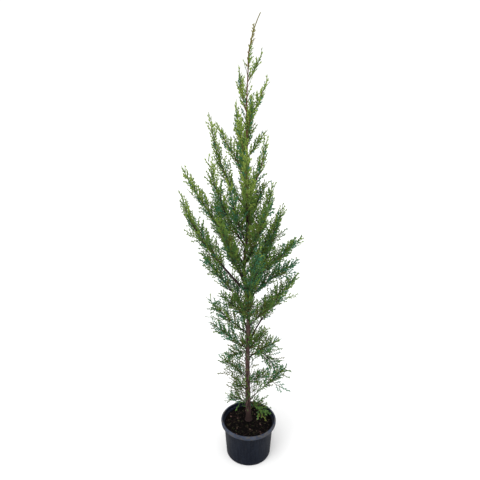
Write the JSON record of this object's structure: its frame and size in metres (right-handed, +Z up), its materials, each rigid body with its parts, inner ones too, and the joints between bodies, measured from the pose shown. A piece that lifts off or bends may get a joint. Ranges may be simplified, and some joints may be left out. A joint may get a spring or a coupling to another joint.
{
  "type": "young leyland cypress in a nursery pot",
  "caption": "Slender young conifer with a bent leader, upswept feathery sprays and a bare lower trunk, standing in a round black plastic nursery pot.",
  "frame": {"origin": "centre of the pot's flat underside, on the surface it stands on", "axes": "+Z up along the trunk, +X to the right and -Y to the front, the side that the leader's bend and the widest boughs are seen from"},
  "size_m": [0.5068, 0.3587, 1.928],
  "materials": {
    "plastic": "scuffed black plastic with a soft sheen",
    "compost": "dark crumbly compost",
    "bark": "thin purple-brown bark",
    "foliage": "soft scale leaves, mid green with yellow-green tips"
  },
  "bodies": {
    "root": {"bough_back_left": "bark", "bough_back_right": "bark", "bough_left_fork": "bark", "bough_left_outer": "bark", "bough_left_second": "bark", "bough_low_right_arm": "bark", "bough_right_outer": "bark", "bough_right_skirt": "bark", "foliage_arching_right": "foliage", "foliage_back_left": "foliage", "foliage_back_low": "foliage", "foliage_back_middle": "foliage", "foliage_back_right": "foliage", "foliage_back_skirt": "foliage", "foliage_back_top": "foliage", "foliage_back_upper": "foliage", "foliage_front_frond": "foliage", "foliage_front_inner": "foliage", "foliage_front_left": "foliage", "foliage_front_low": "foliage", "foliage_front_right": "foliage", "foliage_front_top": "foliage", "foliage_front_upper": "foliage", "foliage_leader": "foliage", "foliage_left_fifth": "foliage", "foliage_left_fork": "foliage", "foliage_left_fourth": "foliage", "foliage_left_hollow": "foliage", "foliage_left_outer": "foliage", "foliage_left_second": "foliage", "foliage_left_sixth": "foliage", "foliage_left_skirt": "foliage", "foliage_left_skirt_upper": "foliage", "foliage_left_third": "foliage", "foliage_left_upper": "foliage", "foliage_low_left": "foliage", "foliage_low_left_inner": "foliage", "foliage_low_left_sprig": "foliage", "foliage_low_left_twig": "foliage", "foliage_low_right": "foliage", "foliage_low_right_arm": "foliage", "foliage_low_right_hanging": "foliage", "foliage_low_right_inner": "foliage", "foliage_right_arm": "foliage", "foliage_right_close": "foliage", "foliage_right_fourth": "foliage", "foliage_right_full": "foliage", "foliage_right_hollow": "foliage", "foliage_right_inner": "foliage", "foliage_right_outer": "foliage", "foliage_right_plume": "foliage", "foliage_right_second": "foliage", "foliage_right_shoulder": "foliage", "foliage_right_skirt": "foliage", "foliage_right_third": "foliage", "foliage_right_upper": "foliage", "pot": "plastic", "soil": "compost", "trunk": "bark"}
  },
  "joints": []
}
